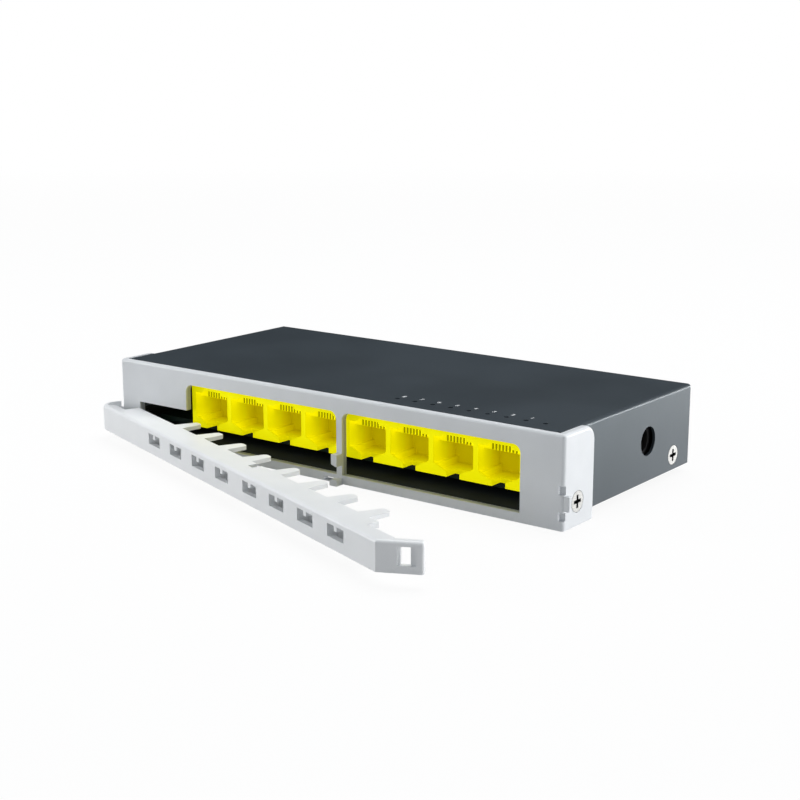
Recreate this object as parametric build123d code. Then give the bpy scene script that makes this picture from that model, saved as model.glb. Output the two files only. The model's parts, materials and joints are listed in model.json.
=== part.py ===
from build123d import *
import os

os.makedirs("parts", exist_ok=True)

# Every length is in millimetres. The pieces are modelled from the bezel's front left bottom corner,
# with X to the right, Y to the back and Z up. The last step moves them onto the part's own origin.

# Case
bezel_width = 154.9
bezel_height = 24.3
bezel_wall = 1.9
bezel_lip = 1.25
bezel_round = 0.9
ear_depth = 14.7
ear_wall = 2.0
ear_corner = 4.0
case_rear = 70.5
case_bottom = 1.8
sheet = 0.8
bend = 0.9
corner_relief = 0.9
flange_height = 6.8
fit = 0.07

# Openings of the bezel
window_side = 0.3
window_end = 0.45
window_drop = 4.4
window_round = 2.3
sill_height = 2.45
gate_play = 0.35
gate_top = 12.06
pillar_shift = 0.6
pillar_width = 1.9
nose_reach = 2.4
nose_low = 5.25
nose_high = 8.5
nose_cut_width = 1.5
nose_cut_height = 0.55
toe_left = 0.6
toe_low = -0.2
toe_high = 1.6
toe_edge = 0.7
hook_gap = 0.6
hook_width = 4.1
hook_low = 0.4
hook_height = 0.9
hook_round = 0.5

# Corner catch
pocket_depth = 1.5
pocket_reach = 1.0
pocket_rows = ((2.5, 4.6), (9.1, 11.35))
catch_low = 5.1
catch_high = 8.9
catch_front = 0.3
catch_rear = 1.5
catch_reach = 1.4

# Flat head screws
ear_screw_y = 6.6
ear_screw_z = 6.2
case_screw_back = 9.15
case_screw_z = 5.93
screw_head = 2.7
screw_shank = 1.45
screw_taper = 1.3
screw_length = 5.5
screw_play = 0.04
screw_ring = 0.16
screw_ring_depth = 0.3
cross_width = 0.9
cross_reach = 1.7
cross_depth = 1.0

# Port blocks
port_count = 4
port_pitch = 14.0
port_wall = 1.5
jack_inset = 13.0
jack_front = 2.85
jack_depth = 18.0
jack_low = 7.0
jack_room = 2.9
jack_roof = 2.4
port_depth = 10.0
lip_depth = 1.0
lip_flat = 2.2
lip_bend = 3.1
lip_end = 4.4
lip_short = 2.6
lip_drop = 0.9
lip_rise = 0.28
foot_span = 4.2
foot_root = 10.2
foot_tip = 8.3
ledge_width = 1.0
ledge_high = 9.9
notch_depth = 4.0
rake_start = 2.6
rake_depth = 2.0
rake_drop = 2.5
rake_slot = 0.7

# Contacts
contact_count = 8
contact_pitch = 1.016
contact_width = 0.5
contact_sheet = 0.3
contact_start = 4.2
contact_run = 5.0
contact_drop = 1.9

# Lock bar, in its closed place
bar_left = 0.5
bar_front = -5.2
bar_end_gap = 2.4
bar_wall = 1.6
bar_low = 3.0
bar_high = 10.4
bar_round = 0.8
plate_sheet = 1.5
plate_depth = 7.6
pillar_play = 0.35
step_left = 7.6
step_end = 10.5
left_depth = 3.1
right_depth = 4.4
plate_overhang = 1.0
comb_shift = 5.4
comb_width = 7.3
comb_low = 5.7
comb_high = 8.8
tooth_width = 1.3
tooth_drop = 1.2
finger_root = 5.15
finger_tip = 3.1
finger_reach = 6.5
finger_sheet = 1.1
cell_gap = 0.6
cell_wall = 1.0
cell_depth = 4.4
wing_length = 10.85
wing_sheet = 1.92
wing_angle = 45.8
wing_slot_start = 5.45
wing_slot_end = 7.75
wing_recess_start = 4.8
wing_recess_end = 9.1
wing_recess_depth = 0.7
wing_slot_low = 4.65
wing_slot_high = 9.15

# Hinge
hinge_x = -1.7
hinge_y = 0.4
rest_angle = -19.7
pin_radius = 0.6
pin_play = 0.05
knuckle = 1.25
knuckle_play = 0.25
end_wall = 1.0
end_back = 1.2
lug_low = 4.6
lug_high = 7.4
prong_sheet = 1.4
prong_gap = 0.2

# Board and what stands on it
board_sheet = 1.6
board_front = 7.5
board_back_gap = 4.5
board_margin = 5.5
board_round = 1.5
post_height = 2.8
post_radius = 2.9
post_bore = 1.25
post_inset_x = 5.0
post_front = 32.0
post_back = 5.0
board_screw_head = 2.4
board_screw_high = 1.7
board_screw_shank = 1.2
board_screw_length = 3.6
board_hole = 1.6

# Packages on the board, placed from its middle or from the cover's right side and from its rear edge
switch_width = 18.0
switch_depth = 12.0
switch_high = 2.4
switch_shift = 0.5
switch_back = 14.0
regulator_width = 6.5
regulator_high = 1.8
regulator_shift = 36.9
regulator_back = 10.0
crystal_width = 11.0
crystal_depth = 4.6
crystal_high = 3.4
crystal_shift = -17.5
crystal_back = 12.0
inductor_radius = 4.6
inductor_high = 4.5
inductor_shift = 46.6
inductor_back = 15.5
capacitor_radius = 4.0
capacitor_high = 12.0
capacitor_inset = 18.0
capacitor_back = 7.0
capacitor_shift = 26.5
magnetics_count = 4
magnetics_width = 18.0
magnetics_depth = 9.0
magnetics_high = 5.0
magnetics_pitch = 27.5
magnetics_y = 34.0
mark_inset = 1.6
mark_radius = 0.5
mark_depth = 0.15

# Lamps and their guide
lamp_count = 9
lamp_inset = 9.88
lamp_pitch = 5.74
lamp_y = 7.1
lamp_hole = 0.7
lamp_play = 0.05
lamp_size = 1.6
lamp_high = 0.9
lamp_board_y = 26.0
guide_width = 2.4
guide_sheet = 1.6
guide_rail = 2.0
guide_play = 0.3
guide_sink = 0.5

# Power socket
dc_back = 24.0
dc_z = 12.9
dc_hole = 4.0
dc_width = 9.0
dc_length = 14.0
dc_set_back = 1.0
dc_bore = 3.2
dc_bore_depth = 9.5
dc_pin_radius = 1.0
dc_pin_back = 1.5
dc_spring_sheet = 0.4
dc_spring_width = 2.4

# Feet
foot_radius = 5.0
foot_high = 2.1
foot_round = 0.8
foot_inset_x = 17.0
foot_front = 15.0
foot_back = 12.5

# Vents of the rear wall
vent_count = 15
vent_pitch = 6.0
vent_width = 2.0
vent_low = 8.0
vent_high = 18.0

# Worked out from the sizes above
case_left = ear_wall + fit
case_right = bezel_width - case_left
case_width = case_right - case_left
middle = bezel_width / 2
floor_top = case_bottom + sheet
roof = bezel_height - sheet
board_low = floor_top + post_height
board_top = board_low + board_sheet
board_rear = case_rear - board_back_gap
post_rear = board_rear - post_back
case_screw_y = case_rear - case_screw_back
dc_y = case_rear - dc_back
jack_width = port_count * port_pitch + port_wall
jack_left = bezel_width - jack_inset - 2 * jack_width
jack_rear = jack_front + jack_depth
jack_high = roof - jack_room
port_ceiling = jack_high - jack_roof
port_width = port_pitch - port_wall
lefts = [jack_left, jack_left + jack_width]
window_left = jack_left + window_side
window_right = lefts[1] + jack_width + window_end
window_top = bezel_height - window_drop
pillar_left = lefts[1] - pillar_shift
pillar_right = pillar_left + pillar_width
hook_left = pillar_left - hook_gap - hook_width
gate_left = bar_left + step_left - gate_play
bar_length = bezel_width - bar_left - bar_end_gap
bar_right = bar_left + bar_length
bar_under = bar_high - plate_sheet
bar_core = (bar_round + bar_wall) / 2
wing_place = Location((bar_right, bar_front, 0), (0, 0, wing_angle))
step_right = bar_length - step_end
comb_start = jack_left - bar_left + comb_shift
lamp_left = bezel_width - lamp_inset - (lamp_count - 1) * lamp_pitch
lamp_xs = [lamp_left + i * lamp_pitch for i in range(lamp_count)]


def block(x0, x1, y0, y1, z0, z1):
    """Box between three pairs of limits."""
    corner = (Align.MIN, Align.MIN, Align.MIN)
    return Pos(x0, y0, z0) * Box(x1 - x0, y1 - y0, z1 - z0, align=corner)


def post(x, y, z0, z1, radius):
    """Upright cylinder."""
    return Pos(x, y, z0) * Cylinder(radius, z1 - z0, align=(Align.CENTER, Align.CENTER, Align.MIN))


def rod(x0, x1, y, z, radius):
    """Cylinder along X."""
    turned = Location((x0, y, z), (0, 90, 0))
    return turned * Cylinder(radius, x1 - x0, align=(Align.CENTER, Align.CENTER, Align.MIN))


def wall_y(face, y0, y1):
    """Face drawn in X and Z, given a depth from y0 to y1."""
    plane = Plane(origin=(0, y1, 0), x_dir=(1, 0, 0), z_dir=(0, -1, 0))
    return extrude(plane * face, amount=y1 - y0, dir=(0, -1, 0))


def plate_z(face, z0, z1):
    """Face drawn in X and Y, given a height from z0 to z1."""
    return extrude(Pos(0, 0, z0) * face, amount=z1 - z0, dir=(0, 0, 1))


def side_x(face, x0, x1):
    """Face drawn in Y and Z, given a width from x0 to x1."""
    plane = Plane(origin=(x0, 0, 0), x_dir=(0, 1, 0), z_dir=(1, 0, 0))
    return extrude(plane * face, amount=x1 - x0, dir=(1, 0, 0))


def near(value, place):
    return abs(value - place) < 0.01


def edges_at(shape, axis, a, b):
    """Edges along an axis that lie at the place (a, b) on the two other axes."""
    names = [n for n in "XYZ" if n != axis]
    found = []
    for edge in shape.edges().filter_by(getattr(Axis, axis)):
        spot = edge.center()
        if near(getattr(spot, names[0]), a) and near(getattr(spot, names[1]), b):
            found.append(edge)
    return found


def screw():
    """Flat head screw along +X from its head's face at x = 0."""
    outline = Polygon((0, 0), (0, screw_head), (screw_taper, screw_shank), (screw_length, screw_shank),
                      (screw_length, 0))
    return revolve(outline, Axis.X)


def screw_hole():
    """Countersunk hole for the screw, with a thin ring left free round the head's face."""
    head = screw_head + screw_play
    shank = screw_shank + screw_play
    ring = screw_head + screw_ring
    slope = (head - shank) / (screw_taper + screw_play)
    outline = Polygon((0, 0), (0, ring), (screw_ring_depth, ring),
                      (screw_ring_depth, head - slope * screw_ring_depth), (screw_taper + screw_play, shank),
                      (screw_length + 1, shank), (screw_length + 1, 0))
    return revolve(outline, Axis.X)


def cross():
    """Recess of a screw's drive, cut from its head's face."""
    bar = block(-1, cross_depth, -cross_width / 2, cross_width / 2, -cross_reach, cross_reach)
    return bar + Rot(90, 0, 0) * bar


def screw_pair(y, z, left, right, solid=True):
    """The screws at both sides of the case, or their holes."""
    made = screw() - cross() if solid else screw_hole()
    return [Location((left, y, z)) * made, Location((right, y, z), (0, 0, 180)) * made]


def ear_screws(solid=True):
    return screw_pair(ear_screw_y, ear_screw_z, 0, bezel_width, solid)


def case_screws(solid=True):
    return screw_pair(case_screw_y, case_screw_z, case_left, case_right, solid)


def channel_face(width, height, radius):
    """Upright rectangle on Z = 0 with its two upper corners rounded."""
    face = Rectangle(width, height, align=(Align.CENTER, Align.MIN))
    return fillet(face.vertices().sort_by(Axis.Y)[-2:], radius)


def top_cover():
    """Sheet folded down at both sides, with the lamp holes and the hole of the power socket."""
    height = bezel_height - case_bottom
    outer = wall_y(channel_face(case_width, height, bend), bezel_lip, case_rear)
    inner = wall_y(channel_face(case_width - 2 * sheet, height - sheet, 0.1 + bend - sheet),
                   bezel_lip - 1, case_rear + 1)
    cover = Pos(middle, 0, case_bottom) * (outer - inner)
    for x in lamp_xs:
        cover -= post(x, lamp_y, roof - 1, bezel_height + 1, lamp_hole)
    for x in (case_left, case_right - corner_relief):
        cover -= block(x - 0.1, x + corner_relief + 0.1, bezel_lip - 1, bezel_lip + corner_relief,
                       roof - corner_relief, bezel_height + 1)
    cover -= rod(case_right - sheet - 1, case_right + 1, dc_y, dc_z, dc_hole)
    return cover - ear_screws(False) - case_screws(False)


def base_tray():
    """Floor, side flanges and rear wall folded from one sheet, inside the cover."""
    left = case_left + sheet + fit
    right = case_right - sheet - fit
    front = bezel_wall + fit
    high = roof - fit
    tray = block(left, right, front, case_rear, case_bottom, high)
    tray = fillet(edges_at(tray, "Y", left, case_bottom) + edges_at(tray, "Y", right, case_bottom), bend)
    tray = fillet(tray.edges().filter_by(Axis.X).group_by(Axis.Y)[-1].sort_by(Axis.Z)[0], bend)
    tray -= block(left + sheet, right - sheet, front - 1, case_rear - sheet, floor_top, high + 1)
    flange_top = case_bottom + flange_height
    tray -= block(left - 1, right + 1, front - 1, case_rear - bend - 1, flange_top, high + 1)
    first = middle - vent_pitch * (vent_count - 1) / 2
    slot = SlotOverall(vent_high - vent_low, vent_width, rotation=90)
    for i in range(vent_count):
        spot = Pos(first + i * vent_pitch, (vent_low + vent_high) / 2)
        tray -= wall_y(spot * slot, case_rear - 2, case_rear + 1)
    return tray - ear_screws(False) - case_screws(False)


def bezel_shell():
    """Wall and ears of the bezel with rounded edges, and the rebate that the cover's edge enters."""
    shell = block(0, bezel_width, 0, ear_depth, 0, bezel_height)
    shell = fillet(edges_at(shell, "X", ear_depth, bezel_height), ear_corner)
    rounded = edges_at(shell, "X", 0, bezel_height)
    for x in (0, bezel_width):
        for edge in shell.edges().filter_by(lambda e: near(e.center().X, x)):
            spot = edge.center()
            if not near(spot.Z, 0) and not near(spot.Y, ear_depth):
                rounded.append(edge)
    shell = fillet(rounded, bezel_round)
    shell -= block(case_left - fit, case_right + fit, bezel_lip - fit, ear_depth + 1, -1, bezel_height + 1)
    inset = case_left + sheet + fit
    backing = block(inset, bezel_width - inset, bezel_lip / 2, bezel_wall, 0, roof - fit)
    return shell + backing


def bezel_openings():
    """Two port windows and, left of them, the gate that the bar's plate enters."""
    cuts = block(gate_left, window_left + 1, -1, bezel_wall + 1, sill_height, gate_top)
    for x0, x1 in ((window_left, pillar_left), (pillar_right, window_right)):
        window = channel_face(x1 - x0, window_top - sill_height, window_round)
        cuts += wall_y(Pos((x0 + x1) / 2, sill_height) * window, -1, bezel_wall + 1)
    return cuts


def pillar_nose():
    """Nose on the pillar that backs the bar, with its lower left corner cut, and the toe below."""
    nose = Polygon((pillar_left, nose_low + nose_cut_height), (pillar_left + nose_cut_width, nose_low),
                   (pillar_right, nose_low), (pillar_right, nose_high), (pillar_left, nose_high))
    toe = Polygon((pillar_left - toe_left, toe_low), (pillar_right, toe_low), (pillar_right, toe_high),
                  (pillar_left, toe_high), (pillar_left - toe_left, toe_edge))
    return wall_y(nose, -nose_reach, bezel_wall / 2) + wall_y(toe, -nose_reach, bezel_wall / 2)


def corner_catch():
    """Nose on the right ear that the bar's wing clips over."""
    face = Polygon((catch_front, catch_low), (catch_rear, catch_low), (catch_rear, catch_high),
                   (catch_front, catch_high))
    nose = side_x(face, bezel_width - 1, bezel_width + catch_reach)
    tip = nose.edges().filter_by(Axis.Z).group_by(Axis.X)[-1]
    return fillet(tip, 0.4)


def hinge_lug():
    """Ear of the bezel that holds the hinge pin."""
    lug = post(hinge_x, hinge_y, lug_low, lug_high, knuckle)
    root = block(hinge_x, ear_wall / 2, hinge_y, hinge_y + knuckle, lug_low, lug_high)
    return lug + root


def front_bezel():
    """Moulded front of the case."""
    bezel = bezel_shell() - bezel_openings()
    bezel += pillar_nose()
    bezel += corner_catch()
    bezel += hinge_lug()
    bezel -= post(hinge_x, hinge_y, lug_low - 1, lug_high + 1, pin_radius)
    for low, high in pocket_rows:
        bezel -= block(bezel_width - pocket_depth, bezel_width + 1, -1, pocket_reach, low, high)
    hook = Pos(hook_left + hook_width / 2, hook_low) * channel_face(hook_width, hook_height, hook_round)
    bezel -= wall_y(hook, -1, bezel_wall + 1)
    return bezel - ear_screws(False)


def port_mouth(left):
    """Opening of a port in the block's face, from its lips down to its stepped feet."""
    right = left + port_width
    low = port_ceiling - lip_drop
    bend_high = port_ceiling - lip_rise
    return Polygon(
        (left + foot_span, jack_low - 1), (left + foot_span, foot_tip), (left, foot_root), (left, low),
        (left + lip_flat, low), (left + lip_bend, bend_high), (left + lip_end, port_ceiling),
        (right - lip_short, port_ceiling), (right - lip_short, bend_high), (right - lip_flat, low),
        (right, low), (right, foot_root), (right - foot_span, foot_tip), (right - foot_span, jack_low - 1))


def contact_places(left):
    """Places of a port's contacts along X."""
    first = left + port_width / 2 - contact_pitch * (contact_count - 1) / 2
    return [first + n * contact_pitch for n in range(contact_count)]


def rake(left):
    """Wall that hangs from a port's ceiling, with a slot for each contact."""
    front = jack_front + rake_start
    rear = front + rake_depth
    low = port_ceiling - rake_drop
    wall = block(left, left + port_width, front, rear, low, port_ceiling)
    for x in contact_places(left):
        wall -= block(x - rake_slot / 2, x + rake_slot / 2, front - 1, rear + 1, low - 1, port_ceiling + 1)
    return wall


def port_cavity(left):
    """Room for the plug behind the lips, with a ledge at each side and the latch notch below."""
    right = left + port_width
    room = Polygon((left, ledge_high), (left + ledge_width, ledge_high), (left + ledge_width, foot_tip),
                   (right - ledge_width, foot_tip), (right - ledge_width, ledge_high), (right, ledge_high),
                   (right, port_ceiling), (left, port_ceiling))
    notch = block(left + foot_span, right - foot_span, jack_front - 1, jack_front + notch_depth,
                  jack_low - 1, foot_tip + 0.5)
    mouth = wall_y(port_mouth(left), jack_front - 1, jack_front + lip_depth)
    room = wall_y(room, jack_front + lip_depth / 2, jack_front + port_depth) - rake(left)
    return room + notch + mouth


def jack_block(left):
    """Housing of four ports in a row."""
    body = block(left, left + jack_width, jack_front, jack_rear, jack_low, jack_high)
    rims = body.edges().filter_by(Axis.Y).group_by(Axis.Z)[-1]
    body = chamfer(rims, 0.4)
    for i in range(port_count):
        body -= port_cavity(left + port_wall + i * port_pitch)
    under = block(left - 1, left + jack_width + 1, board_front - fit, jack_rear + 1, jack_low - 1, board_top)
    return body - under


def contact():
    """Spring of one contact, from its bend near the mouth back into the port, at X = 0."""
    y0 = jack_front + contact_start
    z0 = port_ceiling
    strip = Polygon((y0, z0), (y0, z0 - 3 * contact_sheet),
                    (y0 + contact_run, z0 - contact_drop - contact_sheet),
                    (y0 + contact_run, z0 - contact_drop), (y0 + 2 * contact_sheet, z0 - contact_sheet),
                    (y0 + 2 * contact_sheet, z0))
    return side_x(strip, -contact_width / 2, contact_width / 2)


def contact_row(left):
    """Contacts of one block's four ports."""
    one = contact()
    made = []
    for i in range(port_count):
        made += [Pos(x, 0, 0) * one for x in contact_places(left + port_wall + i * port_pitch)]
    return Compound(made)


def comb_lefts():
    """Left edges of the bar's windows, measured along the bar."""
    edges = []
    for i in range(2 * port_count):
        extra = port_wall if i >= port_count else 0
        edges.append(comb_start + i * port_pitch + extra)
    return edges


def finger(centre):
    """Tapered finger that covers a port's latch notch."""
    root_y = bar_front + plate_depth - 0.5
    tip_y = bar_front + plate_depth + finger_reach
    outline = Polygon((centre - finger_root / 2, root_y), (centre + finger_root / 2, root_y),
                      (centre + finger_tip / 2, tip_y), (centre - finger_tip / 2, tip_y))
    tips = outline.vertices().group_by(Axis.Y)[-1]
    return plate_z(fillet(tips, finger_tip / 3), bar_high - finger_sheet, bar_high)


def rounded_wall(x0, x1, front, depth):
    """Upright wall of the bar with its upper front edge rounded."""
    face = Pos(front, bar_low) * Rectangle(depth, bar_high - bar_low, align=(Align.MIN, Align.MIN))
    corner = face.vertices().group_by(Axis.Y)[-1].sort_by(Axis.X)[0]
    return side_x(fillet(corner, bar_round), x0, x1)


def mitre(start, end):
    """Space across the corner between the bar and its wing, from start to end beyond the corner."""
    corner = Location((bar_right, bar_front, 0), (0, 0, wing_angle / 2))
    return corner * block(start, end, -wing_length, wing_length, bar_low - 1, bar_high + 1)


def bar_wing():
    """Angled end of the bar, with a slot for the corner catch in a stepped recess."""
    wing = rounded_wall(0, wing_length, 0, wing_sheet)
    wing = fillet(wing.edges().filter_by(Axis.Z).group_by(Axis.X)[-1], wing_sheet / 3)
    wing -= block(wing_slot_start, wing_slot_end, -1, wing_sheet + 1, wing_slot_low, wing_slot_high)
    wing -= block(wing_recess_start, wing_recess_end, -1, wing_recess_depth, wing_slot_low, wing_slot_high)
    return wing_place * wing - mitre(-wing_length, 0)


def bar_end():
    """Curved left end of the bar with the two prongs that carry the pin."""
    inner_x = hinge_x - knuckle - knuckle_play
    outer_x = inner_x - end_wall
    reach = bar_left - outer_x
    back = hinge_y + end_back
    outer = Polygon((bar_left + 1, bar_front), (outer_x, bar_front), (outer_x, back), (bar_left + 1, back))
    outer = fillet(outer.vertices().group_by(Axis.X)[0].sort_by(Axis.Y)[0], reach * 0.9)
    inner = Polygon((bar_left + 2, bar_front + bar_wall), (inner_x, bar_front + bar_wall),
                    (inner_x, back + 1), (bar_left + 2, back + 1))
    inner = fillet(inner.vertices().group_by(Axis.X)[0].sort_by(Axis.Y)[0], reach * 0.9 - bar_wall)
    end = plate_z(outer, bar_low, bar_high)
    rim = [edge for edge in end.edges().group_by(Axis.Z)[-1]
           if not near(edge.center().Y, back) and not near(edge.center().X, bar_left + 1)]
    end = fillet(rim, bar_round) - plate_z(inner, bar_low - 1, bar_high + 1)
    for low in (lug_low - prong_gap - prong_sheet, lug_high + prong_gap):
        web = block(inner_x - 0.5, hinge_x, bar_front + bar_wall + 1.5, hinge_y, low, low + prong_sheet)
        end += web + post(hinge_x, hinge_y, low, low + prong_sheet, knuckle)
    return end - post(hinge_x, hinge_y, bar_low - 1, bar_high + 1, pin_radius + pin_play)


def bar_plate():
    """Top plate of the bar in three depths, cut back where it passes the pillar."""
    front = bar_front + bar_core
    left = block(bar_left, bar_left + step_left + 1, front, bar_front + left_depth, bar_under, bar_high)
    plate = block(bar_left + step_left, bar_left + step_right, front, bar_front + plate_depth,
                  bar_under, bar_high)
    right = block(bar_left + step_right - 1, bar_right + plate_overhang, front, bar_front + right_depth,
                  bar_under, bar_high)
    right -= wing_place * block(-wing_length, wing_length, -wing_length, bar_core, bar_low, bar_high + 1)
    notch = block(pillar_left - pillar_play, pillar_right + pillar_play, -pillar_play,
                  bar_front + plate_depth + 1, bar_under - 1, bar_high + 1)
    return left + plate + right - notch


def cell(x):
    """Pocket behind one window of the bar, closed at its back and sides, with a rib from the tooth."""
    left = x - cell_gap - cell_wall
    right = x + comb_width + cell_gap + cell_wall
    front = bar_front + bar_wall / 2
    rear = bar_front + cell_depth
    high = bar_under + plate_sheet / 2
    walls = block(left, right, front, rear, bar_low, high)
    walls -= block(left + cell_wall, right - cell_wall, front - 1, rear - cell_wall, bar_low - 1, high + 1)
    centre = x + comb_width / 2
    rib = block(centre - tooth_width / 2, centre + tooth_width / 2, front, rear - cell_wall / 2,
                comb_high - tooth_drop, high)
    return walls + rib


def lock_bar():
    """Comb bar in its closed place: front wall, plate, windows, fingers, wing and hinge end."""
    wall = rounded_wall(bar_left, bar_right, bar_front, bar_wall) - mitre(0, wing_length)
    bar = wall + bar_wing() + bar_plate()
    for edge in comb_lefts():
        x = bar_left + edge
        window = block(x, x + comb_width, bar_front - 1, bar_front + bar_wall + 1, comb_low, comb_high)
        centre = x + comb_width / 2
        tooth = block(centre - tooth_width / 2, centre + tooth_width / 2, bar_front - 2,
                      bar_front + bar_wall + 2, comb_high - tooth_drop, comb_high + 1)
        bar -= window - tooth
        bar += finger(centre)
        bar += cell(x)
    return bar + bar_end()


def hinge_pin():
    low = lug_low - prong_gap - prong_sheet
    return post(hinge_x, hinge_y, low, lug_high + prong_gap + prong_sheet, pin_radius)


def post_places():
    """Places of the four board posts."""
    xs = (case_left + board_margin + post_inset_x, case_right - board_margin - post_inset_x)
    return [(x, y) for x in xs for y in (post_front, post_rear)]


def circuit_board():
    board = block(case_left + board_margin, case_right - board_margin, board_front, board_rear,
                  board_low, board_top)
    board = fillet(board.edges().filter_by(Axis.Z), board_round)
    for x, y in post_places():
        board -= post(x, y, board_low - 1, board_top + 1, board_hole)
    return board


def board_posts():
    made = []
    for x, y in post_places():
        made.append(post(x, y, floor_top, board_low, post_radius)
                    - post(x, y, floor_top, board_low + 1, post_bore))
    return Compound(made)


def board_screws():
    made = []
    for x, y in post_places():
        head = post(x, y, board_top, board_top + board_screw_high, board_screw_head)
        head = fillet(head.edges().filter_by(GeomType.CIRCLE).group_by(Axis.Z)[-1], 0.7)
        made.append(head + post(x, y, board_top - board_screw_length, board_top + 0.1, board_screw_shank))
    return Compound(made)


def chip(x, y, width, depth, high):
    """Flat package with bevelled edges and a first pin mark."""
    body = block(x - width / 2, x + width / 2, y - depth / 2, y + depth / 2, board_top, board_top + high)
    body = chamfer(body.edges().group_by(Axis.Z)[-1], high / 5)
    mark = post(x - width / 2 + mark_inset, y - depth / 2 + mark_inset, board_top + high - mark_depth,
                board_top + high + 1, mark_radius)
    return body - mark


def capacitor(x, y, radius, high):
    """Round capacitor with a rolled groove near its foot."""
    groove = radius / 8
    outline = Polygon((0, 0), (radius, 0), (radius, high * 0.15), (radius - groove, high * 0.2),
                      (radius, high * 0.25), (radius, high - groove), (radius - groove, high), (0, high))
    return Pos(x, y, board_top) * revolve(Plane.XZ * outline, Axis.Z)


def inductor(x, y, radius, high):
    """Drum core with its winding between two rims."""
    rim = high / 5
    outline = Polygon((0, 0), (radius, 0), (radius, rim), (radius * 0.85, rim), (radius * 0.85, high - rim),
                      (radius, high - rim), (radius, high), (0, high))
    return Pos(x, y, board_top) * revolve(Plane.XZ * outline, Axis.Z)


def status_leds():
    low = board_top
    return Compound([block(x - lamp_size / 2, x + lamp_size / 2, lamp_board_y - lamp_size / 2,
                           lamp_board_y + lamp_size / 2, low, low + lamp_high) for x in lamp_xs])


def light_guide():
    """Nine arms over the port block that carry light to the cover's holes, joined by a rail."""
    low = jack_high + fit
    high = low + guide_sheet
    rail_y = jack_rear + guide_play
    rear = lamp_board_y + lamp_size / 2
    guide = block(lamp_xs[0] - guide_width / 2, lamp_xs[-1] + guide_width / 2, rail_y, rail_y + guide_rail,
                  low, high)
    for x in lamp_xs:
        side = guide_width / 2
        guide += block(x - side, x + side, lamp_y - side, rear, low, high)
        guide += block(x - side, x + side, rear - 2 * side, rear, board_top + lamp_high + guide_play, high)
        guide += post(x, lamp_y, high - 0.1, bezel_height - guide_sink, lamp_hole - lamp_play)
    return guide


def dc_socket():
    """Housing of the power socket with its round bore."""
    face = case_right - sheet - fit - dc_set_back
    half = dc_width / 2
    body = block(face - dc_length, face, dc_y - half, dc_y + half, board_top, dc_z + half)
    body = fillet(body.edges().filter_by(Axis.X).group_by(Axis.Z)[-1], half / 2)
    body -= rod(face - dc_bore_depth, face + 1, dc_y, dc_z, dc_bore)
    body -= rod(face - dc_length - 1, face - dc_bore_depth + 1, dc_y, dc_z, dc_pin_radius)
    return body


def dc_pin():
    face = case_right - sheet - fit - dc_set_back
    pin = rod(face - dc_length, face - dc_pin_back, dc_y, dc_z, dc_pin_radius)
    return fillet(pin.edges().filter_by(GeomType.CIRCLE).group_by(Axis.X)[-1], dc_pin_radius / 2)


def dc_spring():
    """Side contact of the power socket, on the floor of its bore."""
    face = case_right - sheet - fit - dc_set_back
    low = dc_z - dc_bore + 0.35
    return block(face - dc_bore_depth, face - 2, dc_y - dc_spring_width / 2, dc_y + dc_spring_width / 2,
                 low, low + dc_spring_sheet)


def rubber_foot(x, y):
    foot = post(x, y, case_bottom - foot_high, case_bottom, foot_radius)
    return fillet(foot.edges().filter_by(GeomType.CIRCLE).group_by(Axis.Z)[0], foot_round)


pieces = {
    "top_cover": top_cover(),
    "base_tray": base_tray(),
    "front_bezel": front_bezel(),
    "bezel_screws": Compound(ear_screws()),
    "case_screws": Compound(case_screws()),
    "jack_block_left": jack_block(lefts[0]),
    "jack_block_right": jack_block(lefts[1]),
    "contacts_left": contact_row(lefts[0]),
    "contacts_right": contact_row(lefts[1]),
    "hinge_pin": hinge_pin(),
    "circuit_board": circuit_board(),
    "board_posts": board_posts(),
    "board_screws": board_screws(),
    "switch_chip": chip(middle + switch_shift, board_rear - switch_back, switch_width, switch_depth,
                        switch_high),
    "regulator_chip": chip(middle + regulator_shift, board_rear - regulator_back, regulator_width,
                           regulator_width, regulator_high),
    "crystal": chip(middle + crystal_shift, board_rear - crystal_back, crystal_width, crystal_depth,
                    crystal_high),
    "inductor": inductor(middle + inductor_shift, board_rear - inductor_back, inductor_radius,
                         inductor_high),
    "capacitor_1": capacitor(case_right - capacitor_inset, board_rear - capacitor_back,
                             capacitor_radius, capacitor_high),
    "capacitor_2": capacitor(middle + capacitor_shift, board_rear - capacitor_back, capacitor_radius,
                             capacitor_high),
    "status_leds": status_leds(),
    "light_guide": light_guide(),
    "dc_socket": dc_socket(),
    "dc_pin": dc_pin(),
    "dc_spring": dc_spring(),
}
for i in range(magnetics_count):
    x = middle + (i - (magnetics_count - 1) / 2) * magnetics_pitch
    pieces["magnetics_" + str(i + 1)] = chip(x, magnetics_y, magnetics_width, magnetics_depth, magnetics_high)
foot_right = bezel_width - foot_inset_x
for name, y in (("front", foot_front), ("rear", case_rear - foot_back)):
    pieces["foot_" + name + "_left"] = rubber_foot(foot_inset_x, y)
    pieces["foot_" + name + "_right"] = rubber_foot(foot_right, y)

hinge = Pos(hinge_x, hinge_y, 0)
pieces["lock_bar"] = hinge * Rot(0, 0, rest_angle) * hinge.inverse() * lock_bar()

whole = Compound(list(pieces.values())).bounding_box()
home = Pos(-whole.center().X, -whole.center().Y, -whole.min.Z)
for name, shape in pieces.items():
    export_step(home * shape, "parts/" + name + ".step")
spot = home.position
print("hinge at", round(hinge_x + spot.X, 4), round(hinge_y + spot.Y, 4), "shift", spot)
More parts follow.
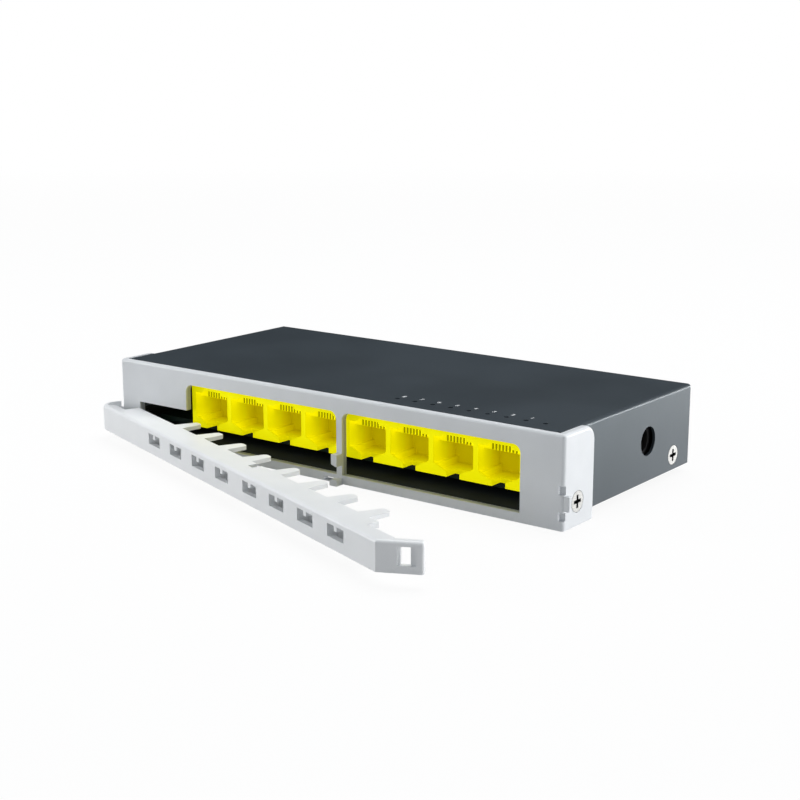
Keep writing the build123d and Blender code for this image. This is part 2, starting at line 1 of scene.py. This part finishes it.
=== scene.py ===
import bpy
import json
import math
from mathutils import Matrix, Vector


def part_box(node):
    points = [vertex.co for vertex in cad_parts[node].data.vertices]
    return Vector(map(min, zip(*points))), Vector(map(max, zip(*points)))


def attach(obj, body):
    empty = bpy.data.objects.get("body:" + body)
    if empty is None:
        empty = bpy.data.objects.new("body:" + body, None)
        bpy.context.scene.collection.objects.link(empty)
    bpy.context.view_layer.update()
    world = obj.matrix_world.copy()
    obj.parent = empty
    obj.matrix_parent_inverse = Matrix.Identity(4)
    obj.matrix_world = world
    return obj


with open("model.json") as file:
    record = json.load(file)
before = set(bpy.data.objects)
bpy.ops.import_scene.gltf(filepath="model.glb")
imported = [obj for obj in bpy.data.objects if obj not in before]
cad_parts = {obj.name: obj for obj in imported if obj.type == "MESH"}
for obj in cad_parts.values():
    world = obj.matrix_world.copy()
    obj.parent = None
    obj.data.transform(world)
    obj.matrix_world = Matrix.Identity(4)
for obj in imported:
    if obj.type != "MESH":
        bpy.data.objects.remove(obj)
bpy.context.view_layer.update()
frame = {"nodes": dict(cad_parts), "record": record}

# Lengths named here are in millimetres and MM turns them into metres. The cover's box gives the
# bezel's front left bottom corner, and places are counted from there, as in the part's source.
MM = 0.001
COVER_LEFT = 2.07
COVER_FRONT = 1.25
COVER_HIGH = 24.3

# Camera: from the front right and a little above; turn, dip and field are in degrees
CAMERA_PLACE = (332.46, -299.78, 112.56)
CAMERA_TURN = 37.156
CAMERA_DIP = 12.953
CAMERA_FIELD = 30.0
CAMERA_NEAR = 10
CAMERA_FAR = 100000

# Numbers behind the lamps on the cover
LAMP_COUNT = 9
LAMP_LEFT = 99.1
LAMP_PITCH = 5.74
NUMBER_Y = 9.9
NUMBER_SIZE = 2.0
NUMBER_SHIFT = 0.15
NUMBER_STROKE = 0.04
PRINT_LIFT = 0.012

# Port blocks: painted shade deepens the tone and a painted glow fades from named depths up to the
# back wall, and painted shade darkens the walls with the contact slots behind their face and above
# their lower edge
PORT_FACE = 2.85
PORT_BACK = 12.85
DEPTH_SHADE_START = PORT_FACE + 2
PAINTED_GLOW_START = PORT_FACE + 1
SLOT_FACE = 5.45
SLOT_SHADE_DEPTHS = (SLOT_FACE + 0.05, SLOT_FACE + 0.4)
SLOT_LOW = 15.7
CEILING_SHADE_HEIGHTS = (SLOT_LOW - 0.2, SLOT_LOW)

# Box of the bezel's openings, the rim around it over which the painted shade on their inner edges
# fades out, and the depths between which it sets in
OPENING_LEFT = 6.0
OPENING_RIGHT = 148.0
OPENING_LOW = 2.4
OPENING_HIGH = 20.5
OPENING_RIM = 1
EDGE_SHADE_DEPTHS = (0.3, 1.0)

# Painted shade in the cross of a side screw: depths under the head's face down to which it is bright,
# and from which dark
CROSS_SHADE_START = 0.1
CROSS_SHADE_FULL = 0.25

# Range that most of a noise's values fill
NOISE_LOW = 0.35
NOISE_HIGH = 0.65

# Grained finishes: the fine grain's share beside the cloud, the range of both that runs from the dark
# tone to the light one, how far the roughness swings, and the grain's height
FINE_SHARE = 0.6
TONE_LOW = 0.25
TONE_HIGH = 0.75
ROUGH_SWING = 0.05
GRAIN_HEIGHT = 0.05

# Soft dark flag that the cover's top mirrors: its direction, and the cosines at its edge and core
FLAG_AIM = (-0.56, 0.74, 0.37)
FLAG_EDGE = 0.45
FLAG_CORE = 0.8

# Floor: its size, the share of plain white in it near the part, and the distances between which
# that share rises to all of it
FLOOR_SIZE = 60000
FLOOR_WHITE = 0.93
FLOOR_NEAR = 300
FLOOR_FAR = 1200

# Height of the lamps at the right, which is below the cover's top
LOW_LAMP_Z = 11

# Finishes by material slot that need no more than a dark tone, a light tone, a roughness, the
# grains in a metre and the strength of their bump
PLAIN_FINISHES = {
    "bare_steel": dict(dark=(0.022, 0.026, 0.034), light=(0.034, 0.040, 0.050), rough=0.6,
                       grains=5200, bump=0.3, specular=0.07),
    "bar_plastic": dict(dark=(0.83, 0.845, 0.855), light=(0.88, 0.89, 0.9), rough=0.36,
                        grains=3800, bump=0.15),
    "contact_metal": dict(dark=(0.16, 0.12, 0.05), light=(0.22, 0.17, 0.07), rough=0.35,
                          grains=5000, bump=0.05, metallic=1.0),
    "board_laminate": dict(dark=(0.006, 0.016, 0.012), light=(0.01, 0.024, 0.018), rough=0.5,
                           grains=1500, bump=0.1, specular=0.1),
    "chip_plastic": dict(dark=(0.012, 0.012, 0.013), light=(0.02, 0.02, 0.021), rough=0.6,
                         grains=6000, bump=0.2),
    "capacitor_sleeve": dict(dark=(0.01, 0.01, 0.015), light=(0.02, 0.02, 0.03), rough=0.35,
                             grains=2000, bump=0.1),
    "lamp_resin": dict(dark=(0.7, 0.76, 0.6), light=(0.8, 0.85, 0.7), rough=0.2,
                       grains=3000, bump=0.05),
    "socket_plastic": dict(dark=(0.01, 0.01, 0.011), light=(0.016, 0.016, 0.017), rough=0.45,
                           grains=3500, bump=0.15),
    "foot_rubber": dict(dark=(0.012, 0.012, 0.012), light=(0.02, 0.02, 0.02), rough=0.8,
                        grains=3000, bump=0.3),
}

cover_low, cover_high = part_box("top_cover")
CORNER = Vector((cover_low[0], cover_low[1], cover_high[2]))
CORNER -= Vector((COVER_LEFT, COVER_FRONT, COVER_HIGH)) * MM


def at(x, y, z):
    """Point of the bezel's frame, in metres."""
    return CORNER + Vector((x, y, z)) * MM


def put(name, data, place):
    """New object at a place in millimetres of the bezel's frame."""
    piece = bpy.data.objects.new(name, data)
    piece.location = at(*place)
    bpy.context.scene.collection.objects.link(piece)
    return piece


def new_material(name):
    """Material with a Principled shader that is still plain."""
    material = bpy.data.materials.new(name)
    material.use_nodes = True
    return material


def shader_of(material):
    return material.node_tree.nodes["Principled BSDF"]


def calculate(tree, operation, *terms):
    """Result of a Math node over terms that are sockets or plain numbers."""
    step = tree.nodes.new("ShaderNodeMath")
    step.operation = operation
    for term, socket in zip(terms, step.inputs):
        if isinstance(term, bpy.types.NodeSocket):
            tree.links.new(term, socket)
        else:
            socket.default_value = term
    return step.outputs[0]


def noise(tree, scale, detail=2.0):
    """Noise over the object's own coordinates; the scale counts grains in a metre."""
    place = tree.nodes.new("ShaderNodeTexCoord")
    grain = tree.nodes.new("ShaderNodeTexNoise")
    grain.inputs["Scale"].default_value = scale
    grain.inputs["Detail"].default_value = detail
    tree.links.new(place.outputs["Object"], grain.inputs["Vector"])
    return grain.outputs["Fac"]


def spread(tree, source, low=0.0, high=1.0, start=NOISE_LOW, end=NOISE_HIGH):
    """Runs from low to high while the source runs from start to end, and stays there beyond."""
    fit = tree.nodes.new("ShaderNodeMapRange")
    fit.inputs["From Min"].default_value = start
    fit.inputs["From Max"].default_value = end
    fit.inputs["To Min"].default_value = low
    fit.inputs["To Max"].default_value = high
    tree.links.new(source, fit.inputs["Value"])
    return fit.outputs["Result"]


def own_axes(tree):
    """The piece's own X, Y and Z, which are the frame's, in metres."""
    place = tree.nodes.new("ShaderNodeTexCoord")
    axes = tree.nodes.new("ShaderNodeSeparateXYZ")
    tree.links.new(place.outputs["Object"], axes.inputs["Vector"])
    return axes.outputs


def rise(tree, axes, axis, start, end):
    """Runs from zero at start to one at end, two places along an axis of the bezel's frame."""
    corner = CORNER["XYZ".index(axis)]
    return spread(tree, axes[axis], start=corner + start * MM, end=corner + end * MM)


def blend_colours(tree, factor, at_zero, at_one):
    """Colour between the one for a factor of zero and the one for a factor of one."""
    mix = tree.nodes.new("ShaderNodeMix")
    mix.data_type = "RGBA"
    mix.inputs["A"].default_value = (*at_zero, 1)
    mix.inputs["B"].default_value = (*at_one, 1)
    tree.links.new(factor, mix.inputs["Factor"])
    return mix.outputs["Result"]


def tint(material, factor, colour):
    """Lays a colour over the material's own, fully where the factor is one."""
    tree = material.node_tree
    base = shader_of(material).inputs["Base Color"]
    mix = tree.nodes.new("ShaderNodeMix")
    mix.data_type = "RGBA"
    mix.inputs["B"].default_value = (*colour, 1)
    tree.links.new(base.links[0].from_socket, mix.inputs["A"])
    tree.links.new(factor, mix.inputs["Factor"])
    tree.links.new(mix.outputs["Result"], base)


def grained(name, dark, light, rough, grains, bump, metallic=0.0, specular=0.5, clouds=90):
    """Finish with a fine grain in colour, gloss and height over a broad slow variation."""
    material = new_material(name)
    tree = material.node_tree
    shader = shader_of(material)
    fine = noise(tree, grains, detail=3.0)
    cloud = spread(tree, noise(tree, clouds), high=1 - FINE_SHARE)
    both = calculate(tree, "MULTIPLY_ADD", fine, FINE_SHARE, cloud)
    factor = spread(tree, both, start=TONE_LOW, end=TONE_HIGH)
    tree.links.new(blend_colours(tree, factor, dark, light), shader.inputs["Base Color"])
    roughness = spread(tree, fine, rough - ROUGH_SWING, rough + ROUGH_SWING)
    tree.links.new(roughness, shader.inputs["Roughness"])
    height = tree.nodes.new("ShaderNodeBump")
    height.inputs["Strength"].default_value = bump
    height.inputs["Distance"].default_value = GRAIN_HEIGHT * MM
    tree.links.new(fine, height.inputs["Height"])
    tree.links.new(height.outputs["Normal"], shader.inputs["Normal"])
    shader.inputs["Metallic"].default_value = metallic
    shader.inputs["Specular IOR Level"].default_value = specular
    return material


def print_ink():
    """Pale ink of the numbers."""
    return grained("print_ink", dark=(0.72, 0.74, 0.75), light=(0.8, 0.82, 0.83),
                   rough=0.6, grains=9000, bump=0.1)


def cover_paint():
    """Fine textured anthracite powder paint with a cool sheen."""
    material = grained("cover_paint", dark=(0.018, 0.0235, 0.029), light=(0.029, 0.037, 0.045),
                       rough=0.45, grains=5200, bump=0.25, specular=0.6, clouds=30)
    shader_of(material).inputs["Specular Tint"].default_value = (0.76, 0.91, 1.0, 1)
    return material


def screw_steel():
    """Bright steel."""
    return grained("screw_steel", dark=(0.6, 0.6, 0.58), light=(0.72, 0.72, 0.7),
                   rough=0.3, grains=4000, bump=0.15, metallic=0.95)


def side_screw_steel(node):
    """Bright steel of a pair of screws, one in each side, with painted shade in the driver's crosses.
    """
    material = screw_steel()
    tree = material.node_tree
    low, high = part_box(node)
    middle, reach = (low[0] + high[0]) / 2, (high[0] - low[0]) / 2
    outward = calculate(tree, "SUBTRACT", own_axes(tree)["X"], middle)
    outward = calculate(tree, "ABSOLUTE", outward)
    cross = spread(tree, outward, start=reach - CROSS_SHADE_START * MM, end=reach - CROSS_SHADE_FULL * MM)
    # Painted shade: dark from a little under the head's face inwards, which shades the driver's cross
    tint(material, cross, (0.03, 0.03, 0.035))
    return material


def bezel_plastic():
    """Pale moulding, with painted shade that deepens its tone on the inner edges of its openings."""
    material = grained("bezel_plastic", dark=(0.715, 0.735, 0.755), light=(0.765, 0.785, 0.805),
                       rough=0.36, grains=3800, bump=0.2)
    tree = material.node_tree
    axes = own_axes(tree)
    factor = rise(tree, axes, "Y", *EDGE_SHADE_DEPTHS)
    for axis, low, high in (("X", OPENING_LEFT, OPENING_RIGHT), ("Z", OPENING_LOW, OPENING_HIGH)):
        for outside, edge in ((low - OPENING_RIM, low), (high + OPENING_RIM, high)):
            factor = calculate(tree, "MULTIPLY", factor, rise(tree, axes, axis, outside, edge))
    # Painted shade: the inner edges of the openings are darker and bluer
    tint(material, factor, (0.42, 0.45, 0.54))
    return material


def clear_guide():
    """Clear moulding that carries the lamps' light."""
    material = grained("guide_clear", dark=(0.8, 0.83, 0.84), light=(0.88, 0.9, 0.9),
                       rough=0.2, grains=3000, bump=0.05)
    shader_of(material).inputs["Transmission Weight"].default_value = 0.5
    return material


def port_plastic():
    """Bright yellow moulding with a painted glow at its face that fades towards the back, painted shade
    that deepens its tone at the back of the ports, and painted shade dark behind the contact slots."""
    material = grained("port_plastic", dark=(0.95, 0.86, 0.0), light=(1.0, 0.93, 0.001),
                       rough=0.5, grains=2500, bump=0.05, specular=0.04)
    tree = material.node_tree
    shader = shader_of(material)
    axes = own_axes(tree)
    # Painted shade: the colour darkens towards the back wall of the ports
    tint(material, rise(tree, axes, "Y", DEPTH_SHADE_START, PORT_BACK), (0.78, 0.67, 0.0))
    # Painted shade: near black behind the contact slots' face and above their lower edge
    behind = rise(tree, axes, "Y", *SLOT_SHADE_DEPTHS)
    above = rise(tree, axes, "Z", *CEILING_SHADE_HEIGHTS)
    tint(material, calculate(tree, "MULTIPLY", behind, above), (0.02, 0.018, 0.0))
    # Painted glow: emission that fades from the face to the back wall, standing in for light in the
    # ports
    fade = rise(tree, axes, "Y", PAINTED_GLOW_START, PORT_BACK)
    glow = blend_colours(tree, fade, (0.34, 0.325, 0.0), (0.08, 0.07, 0.0))
    tree.links.new(glow, shader.inputs["Emission Color"])
    shader.inputs["Emission Strength"].default_value = 1.0
    return material


def finishes():
    """Finish of each carried-over piece, by material slot."""
    made = {slot: grained(slot, **finish) for slot, finish in PLAIN_FINISHES.items()}
    made["cover_paint"] = cover_paint()
    made["bezel_plastic"] = bezel_plastic()
    made["screw_steel"] = screw_steel()
    made["port_plastic"] = port_plastic()
    made["guide_clear"] = clear_guide()
    return made


def dress_nodes():
    """Gives each carried-over piece its finish; each row of side screws has its own."""
    made = finishes()
    own = {name: side_screw_steel(name) for name in ("bezel_screws", "case_screws")}
    for part in frame["record"]["subparts"]:
        piece = frame["nodes"][part["node"]]
        piece.data.materials.clear()
        piece.data.materials.append(own.get(part["node"], made[part["material_slot"]]))


def lamp_numbers():
    """Numbers 8 to 1 behind the lamps from the left, as flat print on the cover."""
    ink = print_ink()
    for i in range(LAMP_COUNT - 1):
        number = LAMP_COUNT - 1 - i
        name = "number_%d" % number
        words = bpy.data.curves.new(name, "FONT")
        words.body = str(number)
        words.size = NUMBER_SIZE * MM
        words.offset = NUMBER_STROKE * MM
        words.align_x = "CENTER"
        words.align_y = "CENTER"
        words.materials.append(ink)
        number_x = LAMP_LEFT + i * LAMP_PITCH + NUMBER_SHIFT
        piece = put(name, words, (number_x, NUMBER_Y, COVER_HIGH + PRINT_LIFT))
        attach(piece, "case")


def seen_rays(tree):
    """One where a camera, glossy or transmitted ray arrives, and zero for light."""
    path = tree.nodes.new("ShaderNodeLightPath")
    seen = calculate(tree, "MAXIMUM", path.outputs["Is Camera Ray"], path.outputs["Is Glossy Ray"])
    return calculate(tree, "MAXIMUM", seen, path.outputs["Is Transmission Ray"])


def mix_shaders(tree, factor, at_zero, at_one):
    """Shader between the one for a factor of zero and the one for a factor of one."""
    mix = tree.nodes.new("ShaderNodeMixShader")
    tree.links.new(factor, mix.inputs["Fac"])
    tree.links.new(at_zero.outputs[0], mix.inputs[1])
    tree.links.new(at_one.outputs[0], mix.inputs[2])
    return mix


def dark_flag(tree):
    """White, with a soft dark flag high at the rear left that only glossy rays see."""
    place = tree.nodes.new("ShaderNodeTexCoord")
    aim = tree.nodes.new("ShaderNodeVectorMath")
    aim.operation = "DOT_PRODUCT"
    aim.inputs[1].default_value = FLAG_AIM
    tree.links.new(place.outputs["Generated"], aim.inputs[0])
    path = tree.nodes.new("ShaderNodeLightPath")
    flag = spread(tree, aim.outputs["Value"], start=FLAG_EDGE, end=FLAG_CORE)
    seen = calculate(tree, "MULTIPLY", flag, path.outputs["Is Glossy Ray"])
    return blend_colours(tree, seen, (1, 1, 1), (0.02, 0.025, 0.03))


def pale_floor():
    """Large pale floor that shows white, keeps a faint shadow and throws little light back."""
    bpy.ops.mesh.primitive_plane_add(size=FLOOR_SIZE * MM, location=(0, 0, 0))
    floor = bpy.context.object
    floor.name = "floor"
    material = new_material("floor_white")
    tree = material.node_tree
    shader = shader_of(material)
    shader.inputs["Base Color"].default_value = (0.4, 0.4, 0.4, 1)
    shader.inputs["Roughness"].default_value = 0.9
    shaded = tree.nodes.new("ShaderNodeBsdfDiffuse")
    shaded.inputs["Color"].default_value = (0.9, 0.9, 0.9, 1)
    glow = tree.nodes.new("ShaderNodeEmission")
    glow.inputs["Color"].default_value = (1, 1, 1, 1)
    glow.inputs["Strength"].default_value = 1.0
    place = tree.nodes.new("ShaderNodeTexCoord")
    far = tree.nodes.new("ShaderNodeVectorMath")
    far.operation = "LENGTH"
    tree.links.new(place.outputs["Object"], far.inputs[0])
    share = spread(tree, far.outputs["Value"], FLOOR_WHITE, 1.0, FLOOR_NEAR * MM, FLOOR_FAR * MM)
    seen = mix_shaders(tree, share, shaded, glow)
    mix = mix_shaders(tree, seen_rays(tree), shader, seen)
    tree.links.new(mix.outputs[0], tree.nodes["Material Output"].inputs["Surface"])
    floor.data.materials.append(material)


def white_world():
    """White where seen, and dim and cool as light."""
    world = bpy.data.worlds.new("studio")
    bpy.context.scene.world = world
    world.use_nodes = True
    tree = world.node_tree
    light = tree.nodes["Background"]
    light.inputs["Color"].default_value = (0.86, 0.93, 1.0, 1)
    light.inputs["Strength"].default_value = 0.28
    seen = tree.nodes.new("ShaderNodeBackground")
    seen.inputs["Strength"].default_value = 1.0
    tree.links.new(dark_flag(tree), seen.inputs["Color"])
    mix = mix_shaders(tree, seen_rays(tree), light, seen)
    tree.links.new(mix.outputs[0], tree.nodes["World Output"].inputs["Surface"])


def soft_lamp(name, place, target, wide, high, power):
    """Soft lamp at a place that looks at a target, with its size, all in millimetres, and its watts."""
    lamp = bpy.data.lights.new(name, "AREA")
    lamp.shape = "RECTANGLE"
    lamp.size = wide * MM
    lamp.size_y = high * MM
    lamp.energy = power
    piece = put(name, lamp, place)
    aim = at(*target) - piece.location
    piece.rotation_euler = aim.to_track_quat("-Z", "Y").to_euler()


def lights():
    """Soft light from all round; the cover's top doesn't mirror the low lamps at the right."""
    soft_lamp("left_front", (-650, -430, 130), (70, 20, 10), wide=400, high=400, power=4.1)
    soft_lamp("front", (220, -900, 150), (80, 0, 10), wide=500, high=500, power=0.3)
    soft_lamp("right_rear", (500, 690, LOW_LAMP_Z), (155, 30, LOW_LAMP_Z), wide=400, high=20, power=2.8)
    soft_lamp("right", (880, 190, LOW_LAMP_Z), (155, 0, LOW_LAMP_Z), wide=400, high=20, power=2.8)
    soft_lamp("overhead", (80, 230, 800), (80, 20, 10), wide=600, high=600, power=5.6)


def photo_camera():
    """Camera at the photograph's viewing angle."""
    camera = bpy.data.cameras.new("photo_camera")
    camera.angle = math.radians(CAMERA_FIELD)
    camera.clip_start = CAMERA_NEAR * MM
    camera.clip_end = CAMERA_FAR * MM
    piece = put("photo_camera", camera, CAMERA_PLACE)
    piece.rotation_euler = (math.radians(90 - CAMERA_DIP), 0, math.radians(CAMERA_TURN))
    bpy.context.scene.camera = piece


dress_nodes()
lamp_numbers()
pale_floor()
white_world()
lights()
photo_camera()
bpy.context.scene.view_settings.view_transform = "Standard"
